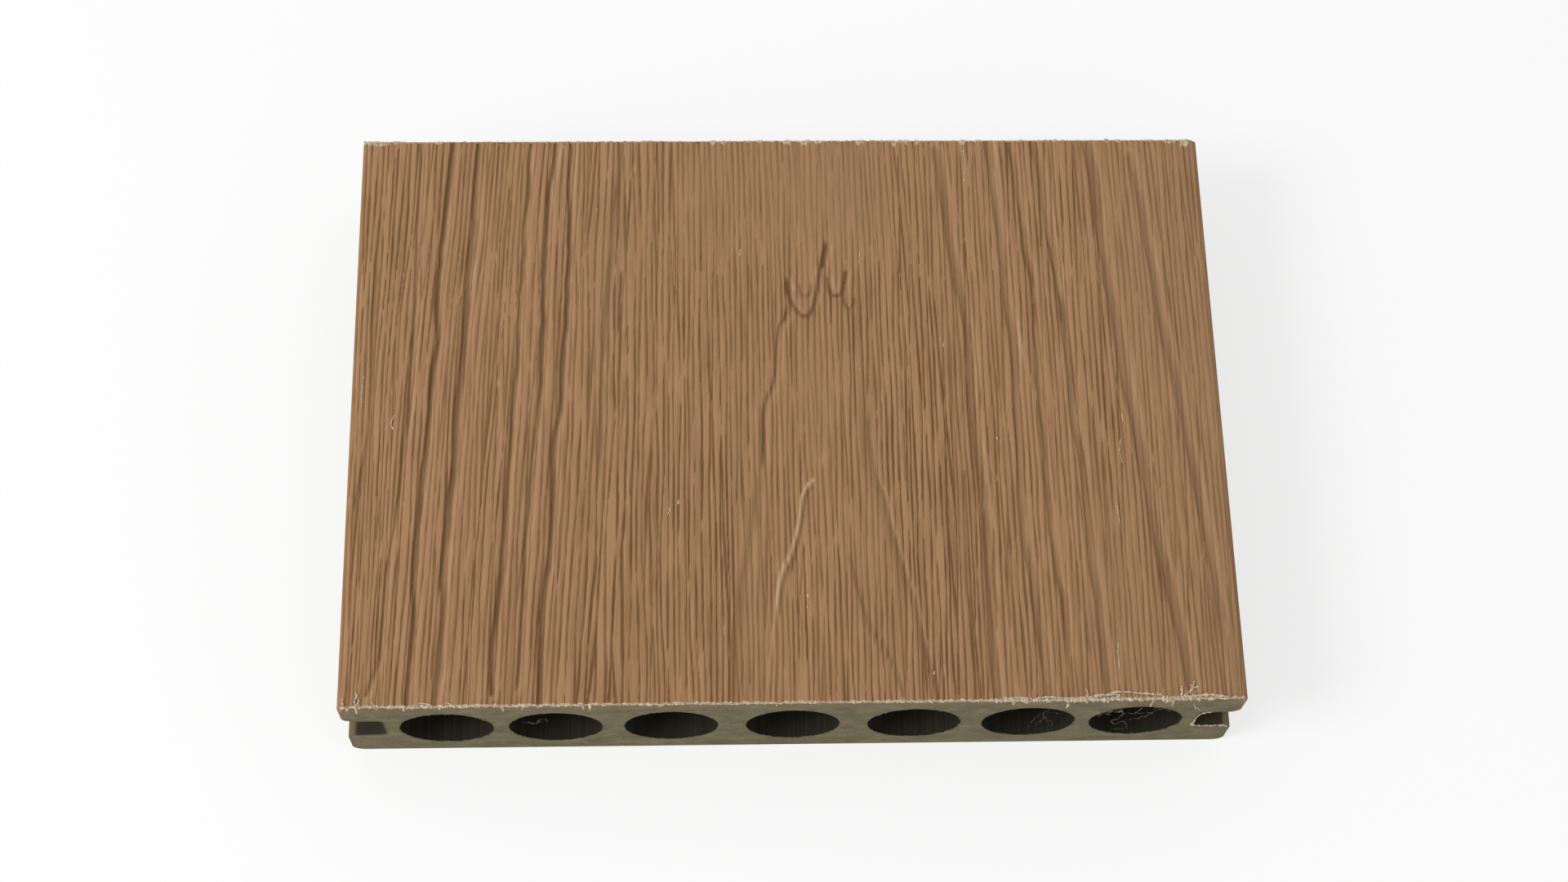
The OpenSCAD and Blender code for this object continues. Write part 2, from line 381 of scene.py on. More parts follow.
# Each groove or step: its depth, how far it reaches to the right and to the left of its route, how grey
# it is, how deep-coloured, and its route. A route that runs towards the near end has its left at +x.
GROOVES = [
    # Deep grooves between the planks of the left third
    (0.42, 0.3, 0.4, 0.2, 0.9, [(-54.3, 97), (-54.6, 89), (-55.2, 81), (-55.8, 72), (-55.9, 65),
      (-55.6, 61), (-56.4, 54), (-56.8, 46), (-57.3, 37), (-57.8, 30), (-58.1, 21), (-57.9, 12),
      (-58.6, 0)]),
    (0.5, 0.38, 0.6, 0.5, 0.9, [(-49.8, 97), (-50.2, 90), (-50.6, 80), (-51.2, 72), (-51.3, 64),
      (-51.7, 56), (-52.4, 46), (-52.5, 37), (-53.2, 30), (-53.6, 22), (-53.6, 12), (-54.3, 0)]),
    (0.22, 0.14, 0.3, 0.1, 0.6, [(-59.6, 97), (-59.5, 88), (-59.7, 80), (-59.5, 75), (-59.7, 64),
      (-60.0, 52), (-60.6, 39), (-61.4, 30), (-62.2, 23), (-62.6, 13), (-63.2, 7), (-64.4, 2)]),
    (0.16, 0.16, 0.5, 0.1, 0.3, [(-66.2, 76), (-66.0, 56), (-66.1, 46), (-66.8, 38), (-67.7, 33),
      (-68.4, 29)]),
    (0.28, 0.2, 0.32, 0.1, 0.8, [(-41.5, 97), (-41.8, 88), (-42.4, 80), (-42.6, 72), (-42.9, 64),
      (-42.9, 58), (-43.5, 52), (-44.0, 40), (-44.3, 30), (-44.8, 23), (-45.2, 18)]),
    (0.38, 0.28, 0.38, 0.1, 0.9, [(-44.9, 22), (-45.3, 16), (-45.7, 11), (-45.8, 7), (-45.9, 2)]),
    (0.38, 0.28, 0.42, 0.5, 0.9, [(-37.5, 97), (-37.7, 91), (-38.3, 88), (-38.8, 80), (-39.0, 71),
      (-39.1, 62), (-39.3, 54), (-39.9, 47)]),
    (0.28, 0.2, 0.36, 0.2, 0.8, [(-39.8, 48), (-40.3, 41), (-40.7, 31), (-41.3, 24), (-41.5, 15),
      (-42.0, 3)]),
    (0.4, 0.28, 0.4, 0.6, 0.9, [(-34.7, 97), (-35.1, 88), (-34.9, 78), (-35.1, 69), (-35.7, 59),
      (-36.1, 50), (-36.9, 43), (-37.1, 34), (-37.6, 21)]),
    (0.44, 0.36, 0.42, 0.3, 0.9, [(-37.5, 24), (-38.2, 17), (-38.5, 12), (-38.6, 0)]),
    (0.16, 0.34, 0.4, 0.5, 0.3, [(-26.8, 97), (-26.9, 91), (-27.8, 84), (-28.3, 75), (-29.0, 66),
      (-29.6, 52), (-29.8, 36)]),
    (0.22, 0.16, 0.24, 0.6, 0.8, [(-26.5, 73), (-26.7, 68), (-26.8, 62)]),
    (-0.1, 0.16, 0.24, 0.1, -0.3, [(-24.3, 93), (-24.6, 91.4), (-25.3, 90), (-25.6, 86)]),
    # Figure of the heart: two hanging tongues, their dark strokes, and the line that leaves them
    (0.26, 0.34, 0.24, 0.0, 0.95, [(0.2, 71), (0.6, 68.6), (1.2, 66.8), (2.1, 65.3), (3.2, 64.7),
      (4.1, 65.2), (4.7, 66.8), (5.0, 69), (5.4, 71.5), (6.0, 74)]),
    (0.14, 0.24, 0.16, 0.0, 0.5, [(2.1, 70.5), (2.6, 68.6), (3.2, 68.1), (3.9, 68.7), (4.2, 70.8)]),
    (0.24, 0.32, 0.22, 0.0, 0.9, [(6.8, 72), (6.9, 69.8), (7.5, 68.6), (8.2, 68.3), (8.9, 68.9),
      (9.5, 71)]),
    (0.22, 0.3, 0.2, 0.0, 0.85, [(9.4, 70), (9.3, 67.8), (9.9, 66.3), (10.8, 66.5), (11.1, 68)]),
    (0.46, 0.4, 0.42, 0.3, 1.3, [(6.9, 78), (6.5, 76), (6.1, 73.2)]),
    (0.34, 0.3, 0.34, 0.0, 1.1, [(0.1, 71.4), (0.3, 70.2), (0.6, 68.8)]),
    (0.38, 0.3, 0.34, 0.0, 1.1, [(9.9, 72.9), (9.6, 71.4), (9.3, 70.2)]),
    (0.26, 0.17, 0.45, 0.1, 1.0, [(0.4, 67.5), (-0.3, 64.4), (-1.3, 63), (-1.7, 60), (-2.0, 55),
      (-2.6, 52), (-3.8, 49), (-4.1, 43), (-4.6, 38)]),
    (0.14, 0.16, 1.0, 0.3, 0.55, [(-4.6, 38), (-5.4, 34), (-6.2, 29), (-7.3, 24), (-8.1, 19),
      (-9.0, 12), (-9.6, 10), (-9.7, 0)]),
    # Lower arch: a raised lip on its left leg, a flat cap over it and a line down its right
    (-0.22, 0.13, 0.24, -0.2, -0.6, [(4.2, 35.6), (3.4, 36.2), (2.3, 35), (1.4, 32.5), (1.1, 29.8),
      (0.6, 26.4), (-0.6, 23.4), (-1.7, 21), (-2.4, 17.7), (-3.0, 14)]),
    (-0.09, 0.18, 0.3, -0.2, -0.3, [(-2.9, 15), (-3.2, 12), (-3.5, 9), (-4.1, 3)]),
    (0.18, 0.14, 0.26, 0.0, 0.6, [(3.9, 35.2), (2.8, 34.4), (2.0, 32.3), (1.7, 29.6), (1.2, 26.2),
      (0.1, 23.0), (-1.1, 20.6), (-1.8, 17.4), (-2.4, 13.8)]),
    (-0.08, 0.14, 0.2, 0.1, -0.2, [(5.1, 38), (5.4, 40.4), (5.9, 41.3), (6.3, 40.6)]),
    (0.16, 0.16, 0.4, 0.3, 0.6, [(8.8, 24), (9.7, 20), (10.4, 16), (12.1, 11.2), (13.7, 8.4),
      (15.3, 5.2), (16.4, 1)]),
    # Long line right of the arch, with a calm grey field on its left
    (-0.07, 0.14, 0.24, 0.0, -0.3, [(13.9, 37), (15.1, 33.3), (15.9, 29.6), (16.9, 25), (18.1, 20),
      (19.2, 16.6), (20.1, 10), (21.2, 6.5)]),
    (0.14, 0.9, 0.16, 0.3, 0.3, [(12.7, 50), (13.0, 42), (13.6, 37), (14.6, 33.5), (15.3, 29.8),
      (16.3, 25), (17.6, 20), (18.6, 17), (19.4, 10), (20.5, 6.9), (21.3, 3)]),
    # Slanting valleys of the right third
    (0.2, 0.3, 0.82, 0.4, 0.6, [(25.2, 95), (26.0, 86), (26.6, 79), (27.5, 72), (28.2, 66), (29.0, 58),
      (29.1, 44), (29.9, 30), (30.1, 15), (30.3, 0)]),
    (0.26, 0.32, 0.84, 0.5, 0.6, [(34.0, 97), (34.5, 88), (35.0, 78), (35.4, 69), (36.0, 61),
      (36.1, 48), (35.9, 34), (36.3, 24), (37.3, 13), (38.3, 0)]),
    (0.24, 0.24, 0.56, 0.2, 0.7, [(37.5, 97), (38.2, 88), (38.7, 80), (39.2, 75.5), (40.0, 71),
      (39.9, 62), (40.0, 46), (40.3, 32), (40.7, 22), (41.5, 15), (41.9, 4)]),
    (0.2, 0.28, 0.8, 0.4, 0.6, [(41.4, 96), (42.6, 89), (43.0, 79), (43.8, 72), (44.5, 62), (45.0, 48),
      (45.8, 38), (46.2, 24), (46.9, 10), (47.2, 0)]),
    (0.24, 0.34, 1.02, 0.6, 0.6, [(50.0, 97), (51.2, 88), (51.3, 79), (52.0, 73), (52.7, 66),
      (53.5, 54), (55.0, 43), (56.2, 31), (57.6, 21), (58.9, 12), (60.0, 2)]),
    (0.2, 0.34, 0.74, 0.6, 0.4, [(57.2, 94), (58.6, 84), (59.0, 77), (60.0, 69), (60.6, 62), (62.0, 52),
      (63.2, 42), (64.0, 32), (65.1, 21), (65.6, 8)]),
    (0.18, 0.18, 0.3, 0.1, 0.8, [(42.8, 79), (43.6, 73), (44.2, 69), (44.5, 63)])]

# Fields where the ridges are calmer and greyer (plus) or rougher and browner (minus):
# middle x and v, half width and half length, and how much.
FIELDS = [
    (6, 88, 13, 14, 0.8), (-13, 86, 5, 9, 0.5), (-30, 70, 4, 30, 0.3), (68, 50, 2.2, 70, 0.8),
    (12.5, 27, 3.0, 16, 0.5), (-6.6, 14, 2.6, 17, 0.5), (57, 70, 3, 22, 0.5), (50, 24, 4, 20, 0.4),
    (32, 88, 2.5, 12, 0.4), (62, 48, 5, 70, 0.4), (4, 52, 6, 12, 0.5), (-12, 22, 4, 24, -0.6),
    (4, 16, 3.5, 18, -0.7), (20, 36, 6, 20, -0.6), (25, 10, 5, 14, -0.5), (-62, 40, 4, 40, -0.3),
    (-24, 20, 8, 22, -0.3), (47, 88, 3, 12, -0.4), (10, 66, 8, 7, -0.4)]

# Pale torn patches on the far edge: x, half width, and how far they reach onto the face
FAR_PATCHES = [
    (-66.8, 2.0, 1.2), (-63.4, 0.4, 0.8), (-56.6, 0.6, 0.7), (-11.5, 0.5, 1.1), (-9.7, 0.5, 1.0),
    (-5.6, 0.3, 0.6), (-3.6, 0.4, 0.7), (0.9, 0.6, 1.0), (3.9, 0.6, 1.1), (6.0, 0.4, 0.9),
    (12.8, 0.5, 1.3), (18.5, 0.3, 1.6), (20.1, 0.7, 1.0), (22.3, 0.4, 1.1), (30.0, 0.5, 1.2),
    (32.6, 0.4, 0.7), (39.4, 0.5, 0.6), (45.5, 0.3, 0.7), (54.0, 0.4, 0.6), (55.9, 0.3, 0.8),
    (60.9, 0.4, 0.6), (64.8, 0.9, 1.1), (66.9, 0.5, 1.6)]

RIDGE_PITCH = 0.90
RIDGE_LENGTH = 25.0
RIDGE_DEPTH = 0.17
# How far the ridges of the left third drift to the left on their way to the near end
PLANK_DRIFT = 3.4
# The grained face's highest level lies this far under the top of the CAD box, to leave room for lips
LIP_ROOM = 0.12
RELIEF_LIMIT = 0.56


def grain_relief(x, v):
    """Places of the grained face: depth below the top in mm, and what the finish reads there."""
    leaning = smooth_share(x, -69, -60) * (1 - smooth_share(x, -36, -20))
    u = x + PLANK_DRIFT * (1 - v / (2 * HALF_L)) * leaning
    u = u + 0.28 * steps(x, v, 9.0, 30.0, 11) + 0.08 * steps(x, v, 2.6, 11.0, 12)

    calm = np.zeros_like(x)
    for middle_x, middle_v, half_x, half_v, amount in FIELDS:
        calm += amount * np.exp(-((x - middle_x) / half_x) ** 2 - ((v - middle_v) / half_v) ** 2)
    calm += 0.14 * steps(x, v, 6.0, 24.0, 13)
    size = np.clip((1.0 - 0.5 * calm) * (1 + 0.26 * steps(u, v, 1.5, 34.0, 14)), 0.15, 1.4)
    size *= 0.91 + 0.09 * v / (2 * HALF_L)

    # Ridges are long strokes side by side, with finer and shorter ones on them
    turn = u / RIDGE_PITCH + 0.22 * steps(u, v, 2.1, 30.0, 15) + 0.09 * steps(u, v, 1.1, 7.0, 16)
    border, own = strokes(turn, v / RIDGE_LENGTH, RIDGE_PITCH / RIDGE_LENGTH, 17)
    fine_border, fine_own = strokes(turn * 1.9, v / 8.0, 0.5 * RIDGE_PITCH / 8.0, 18)
    crest = smooth_share(border, -0.05, 0.42) - 0.25 * (1 - smooth_share(fine_border, 0.0, 0.3))
    depth = RIDGE_DEPTH * size * (1 - 0.8 * crest - 0.12 * own)
    relief = (-0.14 * own - 0.09 * fine_own + 0.10 * steps(u, v, 0.8, 17.0, 24)) * size - 0.08 * calm
    grey = np.clip(0.32 * calm, 0, 0.5)
    deep = np.zeros_like(x)

    wander = 0.16 * steps(x, v, 5.0, 6.0, 19) + 0.13 * steps(x, v, 3.0, 2.6, 25)
    swell = 1 + 0.4 * steps(x, v, 4.0, 7.0, 20)
    for groove_depth, right, left, greyness, darkness, points in GROOVES:
        route = rounded_route(points)
        reach = 3.6 * max(right, left)
        (x0, v0), (x1, v1) = route.min(0) - reach, route.max(0) + reach
        close = (x > x0) & (x < x1) & (v > v0) & (v < v1)
        away, share = off_route(x[close] + wander[close], v[close], route)
        width = np.where(away < 0, right, left) * swell[close]
        ends = np.minimum(smooth_share(share, -0.02, 0.08), 1 - smooth_share(share, 0.92, 1.02))
        if points[0][1] > 93:
            ends = 1 - smooth_share(share, 0.92, 1.02)
        if points[-1][1] < 4:
            ends = np.where(share > 0.5, 1.0, ends)
        # A wide valley has a dark brown line along its right bank, painted shade on the wall that faces
        # away from the light; a deep groove is dark throughout, partly its own colour and partly
        # painted shade
        valley = groove_depth > 0 and left > max(0.45, 1.5 * right)
        form = np.exp(-np.abs(away / width) ** (2.6 if valley or groove_depth > 0.3 else 1.7)) * ends
        core_away = away + 0.5 * max(left - right, 0) * valley
        core = np.exp(-np.abs(core_away / (1.15 * min(right, left) * swell[close])) ** 2.6) * ends
        # The left bank is painted pale: a painted highlight where the groove's wall faces the light
        lit_bank = np.exp(-((away - left - 0.5) / 0.35) ** 2) * ends * (groove_depth > 0.19)
        depth[close] = depth[close] * (1 - 0.6 * form * (groove_depth > 0)) + groove_depth * form
        # Grooves are painted darker, partly their own colour and partly painted shade; raised lips,
        # with a depth below 0, are painted paler as a painted highlight
        relief[close] += ((0.40 if valley else 0.55) if groove_depth > 0 else 9.0 * groove_depth) * form
        relief[close] += 0.4 * darkness * core * valley - 0.6 * lit_bank
        size[close] *= 1 - (0.5 if groove_depth > 0 else 0.9) * form
        grey[close] += greyness * form
        deep[close] += darkness * core * (0.12 if valley else 0.82)
    torn = np.exp(-(v / 0.28) ** 2) * 0.8
    for middle, half, reach in FAR_PATCHES:
        across, inwards = (x - middle) / (half + 0.2), (2 * HALF_L - v) / (0.8 * reach)
        torn += 1.15 * np.exp(-across ** 4 - inwards ** 2)
    depth = np.clip(depth + LIP_ROOM, 0.0, RELIEF_LIMIT)
    return depth, dict(turn=turn, crest=crest, size=np.clip(size, 0, 1.3), relief=relief,
                       grey=np.clip(grey, 0, 1), deep=np.clip(deep, 0, 1), torn=np.clip(torn, 0, 1.2))


# The cap.

def cap_section():
    """The cap's outer line in the near end as (x, z) points, from its lower left edge over the top to
    its lower right edge, and the cap's thickness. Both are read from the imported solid."""
    solid = bmesh.new()
    solid.from_mesh(frame["nodes"]["cap"].data)
    bmesh.ops.remove_doubles(solid, verts=solid.verts, dist=1e-7)
    on_end = -HALF_L * MM + 1e-5
    beside = {}
    for edge in solid.edges:
        flat = sum(abs(face.normal.y) > 0.9 for face in edge.link_faces)
        if flat == 1 and all(vert.co.y < on_end for vert in edge.verts):
            for a, b in (edge.verts, reversed(edge.verts)):
                beside.setdefault(a, []).append(b)
    start = min(beside, key=lambda vert: (round(vert.co.z / MM, 3), vert.co.x))
    inner, here = sorted(beside[start], key=lambda vert: vert.co.z)
    thickness = (inner.co - start.co).length / MM
    line, before = [start], start
    while here.co.z > start.co.z + 1e-6:
        line.append(here)
        before, here = here, next(vert for vert in beside[here] if vert is not before)
    line.append(here)
    points = [(vert.co.x / MM, vert.co.z / MM) for vert in line]
    solid.free()
    return np.array(points), thickness


def near_wear(x):
    """How far the near edge of the cap is worn back, in mm."""
    return 0.10 * (0.5 + 0.5 * ripple(x, 0.5, 21))


def far_wear(x):
    """How far the far edge is worn back: a few shallow scallops with small chips on them."""
    return 0.12 * (1 + ripple(x, 0.6, 22)) + 0.13 * (1 + ripple(x, 4.5, 23))


COLUMN_STEP = 0.158
SIDE_STEP = 2.4


def divided(points, step_for):
    """The line with its long straight stretches cut into equal steps."""
    out = [points[0]]
    for a, b in zip(points[:-1], points[1:]):
        count = max(1, round(np.hypot(*(b - a)) / step_for(a, b)))
        out.extend(a + (b - a) * k / count for k in range(1, count + 1))
    return np.array(out)


def cap_rows():
    """Distances from the near end of the cap's rows of points, closest where the figures are."""
    stretches = [(0, 0.6, 0.3), (0.6, 2, 0.7), (2, 33, 1.4), (33, 38, 0.6), (38, 63, 1.4),
                 (63, 79, 0.6), (79, 94.8, 1.4), (94.8, 2 * HALF_L, 0.36)]
    rows = [0.0]
    for low, high, step in stretches:
        count = round((high - low) / step)
        rows.extend(low + (high - low) * k / count for k in range(1, count + 1))
    return np.array(rows)


def in_scene(name, data):
    """A new object with this data, linked to the scene."""
    piece = bpy.data.objects.new(name, data)
    bpy.context.scene.collection.objects.link(piece)
    return piece


def plain_mesh(name, points_mm, faces, material):
    """An object with a mesh of its own, placed by its points."""
    mesh = bpy.data.meshes.new(name)
    mesh.from_pydata(np.asarray(points_mm, float) * MM, [], faces)
    mesh.materials.append(material)
    return in_scene(name, mesh)


def make_cap(material):
    """The whole skin as one closed shell: grained outer face, inner face and two sawn bands."""
    line, thickness = cap_section()
    on_top = lambda a, b: COLUMN_STEP if min(a[1], b[1]) > TOP - 1e-3 else SIDE_STEP
    line = divided(line, on_top)
    run = np.gradient(line, axis=0)
    outward = np.stack([-run[:, 1], run[:, 0]], axis=1) / np.hypot(*run.T)[:, None]
    inner = line - outward * thickness
    rows = cap_rows()
    columns = len(line)

    x = np.tile(line[:, 0], len(rows))
    v = np.repeat(rows, columns)
    depth, shares = grain_relief(x, v)
    faces_up = smooth_share(np.tile(outward[:, 1], len(rows)), 0.25, 0.95)
    faces_up *= np.tile(line[:, 1] > TOP - 2, len(rows))
    depth *= faces_up
    place = np.tile(line, (len(rows), 1)) - np.tile(outward, (len(rows), 1)) * depth[:, None]
    y = v - HALF_L
    y += np.where(v < 1e-6, near_wear(x), 0) - np.where(v > 2 * HALF_L - 1e-6, far_wear(x), 0)
    outer = np.stack([place[:, 0], y, place[:, 1]], axis=1)
    back = [np.stack([inner[:, 0], np.full(columns, end * HALF_L), inner[:, 1]], axis=1)
            for end in (-1, 1)]
    points = np.vstack([outer, *back])

    grid = np.arange(len(rows) * columns).reshape(len(rows), columns)
    near_back = np.arange(columns) + grid.size
    far_back = near_back + columns

    def band(a, b):
        """Faces between two lines of points that run side by side."""
        return np.stack([a[:-1], a[1:], b[1:], b[:-1]], axis=1)

    skin = np.vstack([band(grid[k], grid[k + 1]) for k in range(len(rows) - 1)])
    sawn = np.vstack([band(near_back, grid[0]), band(grid[-1], far_back), band(far_back, near_back)])
    edges = []
    for column, flip in ((0, False), (-1, True)):
        rim = [near_back[column], *grid[:, column], far_back[column]]
        edges.append(rim[::-1] if flip else rim)
    faces = [*skin.tolist(), *sawn.tolist(), *edges]
    cap = plain_mesh("grained_cap", points, faces, material)
    smooth = np.zeros(len(faces), bool)
    smooth[:len(skin)] = True
    cap.data.polygons.foreach_set("use_smooth", smooth)
    for name, share in shares.items():
        if name == "turn":
            # On the sides the count goes on downwards
            share = share + np.sign(x) * (TOP - place[:, 1]) / RIDGE_PITCH
            values = np.concatenate([share, share[:columns], share[-columns:]])
        else:
            values = np.concatenate([share * faces_up, np.zeros(2 * columns)])
        layer = cap.data.attributes.new(name, "FLOAT", "POINT")
        layer.data.foreach_set("value", values.astype(np.float32))
    cap.data.validate()
    return cap


grained_cap = make_cap(grained_cap_material())
core = frame["nodes"]["core"]
core.data.materials[0] = core_material()


# Torn plastic, grown by two Geometry Nodes trees.

def geometry_tree(name, inputs):
    """An empty tree with named inputs: the group, its Tree and a wire from each input."""
    group = bpy.data.node_groups.new(name, "GeometryNodeTree")
    tree = Tree(group.nodes, group.links)
    group.interface.new_socket("Geometry", in_out="OUTPUT", socket_type="NodeSocketGeometry")
    for label, kind in (("Geometry", "Geometry"), *inputs):
        group.interface.new_socket(label, in_out="INPUT", socket_type="NodeSocket" + kind)
    entry = group.nodes.new("NodeGroupInput")
    return group, tree, {socket.name: Wire(tree, socket) for socket in entry.outputs if socket.name}


def end_tree(group, tree, shape, finish):
    solid = tree.add("GeometryNodeRealizeInstances", {0: shape})
    painted = tree.add("GeometryNodeSetMaterial", {"Geometry": solid, "Material": finish})
    tree.links.new(painted.socket, group.nodes.new("NodeGroupOutput").inputs[0])
    return group


def shaken(tree, shape, scale, amount, seed):
    """Moves each point by noise, at most about amount."""
    here = tree.add("GeometryNodeInputPosition")
    shift = tree.vector(seed, seed * 3.7, seed * 1.9)
    stretched = tree.vector_math("MULTIPLY_ADD", here, (scale, scale, scale), shift)
    noise = tree.add("ShaderNodeTexNoise", {"Vector": stretched, "Scale": 1.0, "Detail": 2.0}, "Color")
    centred = tree.vector_math("SUBTRACT", noise, (0.5, 0.5, 0.5))
    offset = tree.vector_math("SCALE", centred, Scale=amount * 3)
    return tree.add("GeometryNodeSetPosition", {"Geometry": shape, "Offset": offset})


def path_heft(tree):
    return tree.add("GeometryNodeInputNamedAttribute", {"Name": "heft"})


def torn_strand_tree():
    """A lumpy, wandering strand along each path, as thick as Thickness times the path's heft."""
    group, tree, given = geometry_tree("torn_strand", [
        *((label, "Float") for label in ("Step", "Thickness", "Wander", "Lumps", "Seed")),
        ("Finish", "Material")])
    path = tree.add("GeometryNodeMeshToCurve", {0: given["Geometry"]})
    path = tree.add("GeometryNodeResampleCurve", {"Curve": path, "Length": given["Step"]},
                    mode="LENGTH")
    path = shaken(tree, path, 1400, given["Wander"], given["Seed"])
    heft = path_heft(tree)
    here = tree.add("GeometryNodeInputPosition")
    swell = tree.noise(here, (2600, 2600, 2600), detail=2)
    thickness = given["Thickness"] * heft * (0.25 + swell.between(0.3, 0.7) * 1.5)
    ring = tree.add("GeometryNodeCurvePrimitiveCircle", {"Resolution": 6, "Radius": 1.0})
    strand = tree.add("GeometryNodeCurveToMesh",
                      {"Curve": path, "Profile Curve": ring, "Scale": thickness, "Fill Caps": True})
    strand = shaken(tree, strand, 5200, given["Lumps"], given["Seed"])
    return end_tree(group, tree, strand, given["Finish"])


def chips_tree():
    """Chips along each path, tumbled and spread about it, from Smallest to Largest times its heft."""
    group, tree, given = geometry_tree("torn_chips", [
        ("Chips", "Collection"), ("Spacing", "Float"), ("Smallest", "Float"), ("Largest", "Float"),
        ("Spread", "Vector"), ("Seed", "Int"), ("Finish", "Material")])
    path = tree.add("GeometryNodeMeshToCurve", {0: given["Geometry"]})
    points = tree.add("GeometryNodeCurveToPoints", {"Curve": path, "Length": given["Spacing"]},
                      mode="LENGTH")
    least = tree.vector_math("SCALE", given["Spread"], Scale=-1.0)
    offset = tree.add("FunctionNodeRandomValue", {0: least, 1: given["Spread"], "Seed": given["Seed"]},
                      data_type="FLOAT_VECTOR")
    points = tree.add("GeometryNodeSetPosition", {"Geometry": points, "Offset": offset})
    heft = path_heft(tree)
    size = tree.add("FunctionNodeRandomValue",
                    {2: given["Smallest"], 3: given["Largest"], "Seed": given["Seed"]}, 1)
    turn = tree.add("FunctionNodeRandomValue",
                    {0: (0, 0, 0), 1: (6.28, 6.28, 6.28), "Seed": given["Seed"]},
                    data_type="FLOAT_VECTOR")
    chips = tree.add("GeometryNodeCollectionInfo", {
        "Collection": given["Chips"], "Separate Children": True, "Reset Children": True})
    placed = tree.add("GeometryNodeInstanceOnPoints", {
        "Points": points, "Instance": chips, "Pick Instance": True, "Rotation": turn,
        "Scale": size * heft})
    return end_tree(group, tree, placed, given["Finish"])


def chip_shapes(count=6):
    """Small angular flakes, about 1 mm across, kept out of the scene."""
    shapes = bpy.data.collections.new("chip_shapes")
    rng = np.random.default_rng(31)
    for number in range(count):
        solid = bmesh.new()
        for place in rng.normal(0, 1, (10, 3)):
            place = place / np.linalg.norm(place) * (0.62, 0.30, 0.16) * rng.uniform(0.7, 1.1)
            solid.verts.new(place)
        hull = bmesh.ops.convex_hull(solid, input=solid.verts)
        hidden = {v for v in hull["geom_interior"] if isinstance(v, bmesh.types.BMVert)}
        bmesh.ops.delete(solid, geom=list(hidden), context="VERTS")
        mesh = bpy.data.meshes.new(f"chip_shape_{number}")
        solid.to_mesh(mesh)
        solid.free()
        shapes.objects.link(bpy.data.objects.new(mesh.name, mesh))
    return shapes


def grown(name, group, paths, settings):
    """A plain mesh object that a tree grows on paths, each a list of (x, y, z) in mm and its heft."""
    points = np.vstack([route for route, heft in paths]) * MM
    heft = np.concatenate([np.broadcast_to(heft, len(route)) for route, heft in paths])
    edges, start = [], 0
    for route, _ in paths:
        edges.extend((k, k + 1) for k in range(start, start + len(route) - 1))
        start += len(route)
    guide = bpy.data.meshes.new(name + "_paths")
    guide.from_pydata(points, edges, [])
    guide.attributes.new("heft", "FLOAT", "POINT").data.foreach_set("value", heft.astype(np.float32))
    piece = in_scene(name, guide)
    maker = piece.modifiers.new(group.name, "NODES")
    maker.node_group = group
    for socket in group.interface.items_tree:
        if socket.in_out == "INPUT" and socket.name in settings:
            maker[socket.identifier] = settings[socket.name]
    made = piece.evaluated_get(bpy.context.evaluated_depsgraph_get())
    mesh = bpy.data.meshes.new_from_object(made)
    piece.modifiers.remove(maker)
    piece.data = mesh
    mesh.name = name
    bpy.data.meshes.remove(guide)
    return piece


def on_face(points, lift):
    """Points (x, v) of the grained face, lifted off it, as places in mm."""
    points = rounded_route(points, 4)
    depth, _ = grain_relief(points[:, 0], points[:, 1])
    return np.stack([points[:, 0], points[:, 1] - HALF_L, TOP - depth + lift], axis=1)


def edge_line(v, out, low):
    """A sawn edge of the grained face, a little outside and below its corner, from left to right."""
    x = np.arange(-HALF_W + 0.75, HALF_W - 0.74, 0.15)
    depth, _ = grain_relief(x, np.full_like(x, v))
    corner = np.clip(np.abs(x) - (HALF_W - 1.2), 0, None) ** 2 * 0.4
    y = np.full_like(x, v - HALF_L + (-out if v < HALF_L else out))
    return np.stack([x, y, TOP - depth - corner - low], axis=1)


def lumps(x, places):
    """1 with bumps on it: each place is a middle, a half width and a height."""
    return 1 + sum(height * np.exp(-((x - middle) / half) ** 2) for middle, half, height in places)


# Near edge: where its burr is thick or thin, and the teeth that stand out of it: x, how far each
# stands out, how far it hangs, and how far its tip leans to the right
NEAR_LUMPS = [
    (-67.6, 0.7, 0.9), (-66, 0.6, 1.3), (-63.3, 0.5, 0.7), (-61, 0.7, 0.4), (-54, 0.8, 0.5),
    (-46, 5, -0.3), (-28, 4, -0.35), (-12, 8, -0.4), (6, 9, -0.45), (24, 6, -0.3), (32, 1.5, 0.8),
    (36, 3, 0.8), (40.5, 1.2, 1.0), (47, 4, 1.2), (56.5, 3, 1.4), (60, 1.2, 0.8), (66, 1.5, -0.2)]
TEETH = [
    (-67.4, 0.5, 0.3, -0.2), (-66.0, 0.7, 0.6, 0.1), (-63.2, 0.3, 0.3, 0.2), (-59.0, 0.5, 0.4, 0.1),
    (-53.7, 0.4, 0.2, 0.2), (-44.2, 0.5, 0.6, 0.1), (-41.1, 0.4, 0.5, -0.1), (-32.2, 0.5, 0.5, 0.2),
    (-31.0, 0.5, 0.7, 0.0), (-20.5, 0.3, 0.3, -0.2), (-3.0, 0.3, 0.4, 0.1), (12.4, 0.3, 0.3, 0.2),
    (33.0, 0.5, 0.5, 0.1), (41.5, 0.9, 1.2, -0.3), (44.0, 0.4, 0.4, 0.3), (54.4, 0.8, 0.9, -0.5),
    (56.0, 0.5, 0.5, 0.4), (57.5, 0.9, 1.1, -0.2), (61.3, 0.4, 0.2, 0.1)]
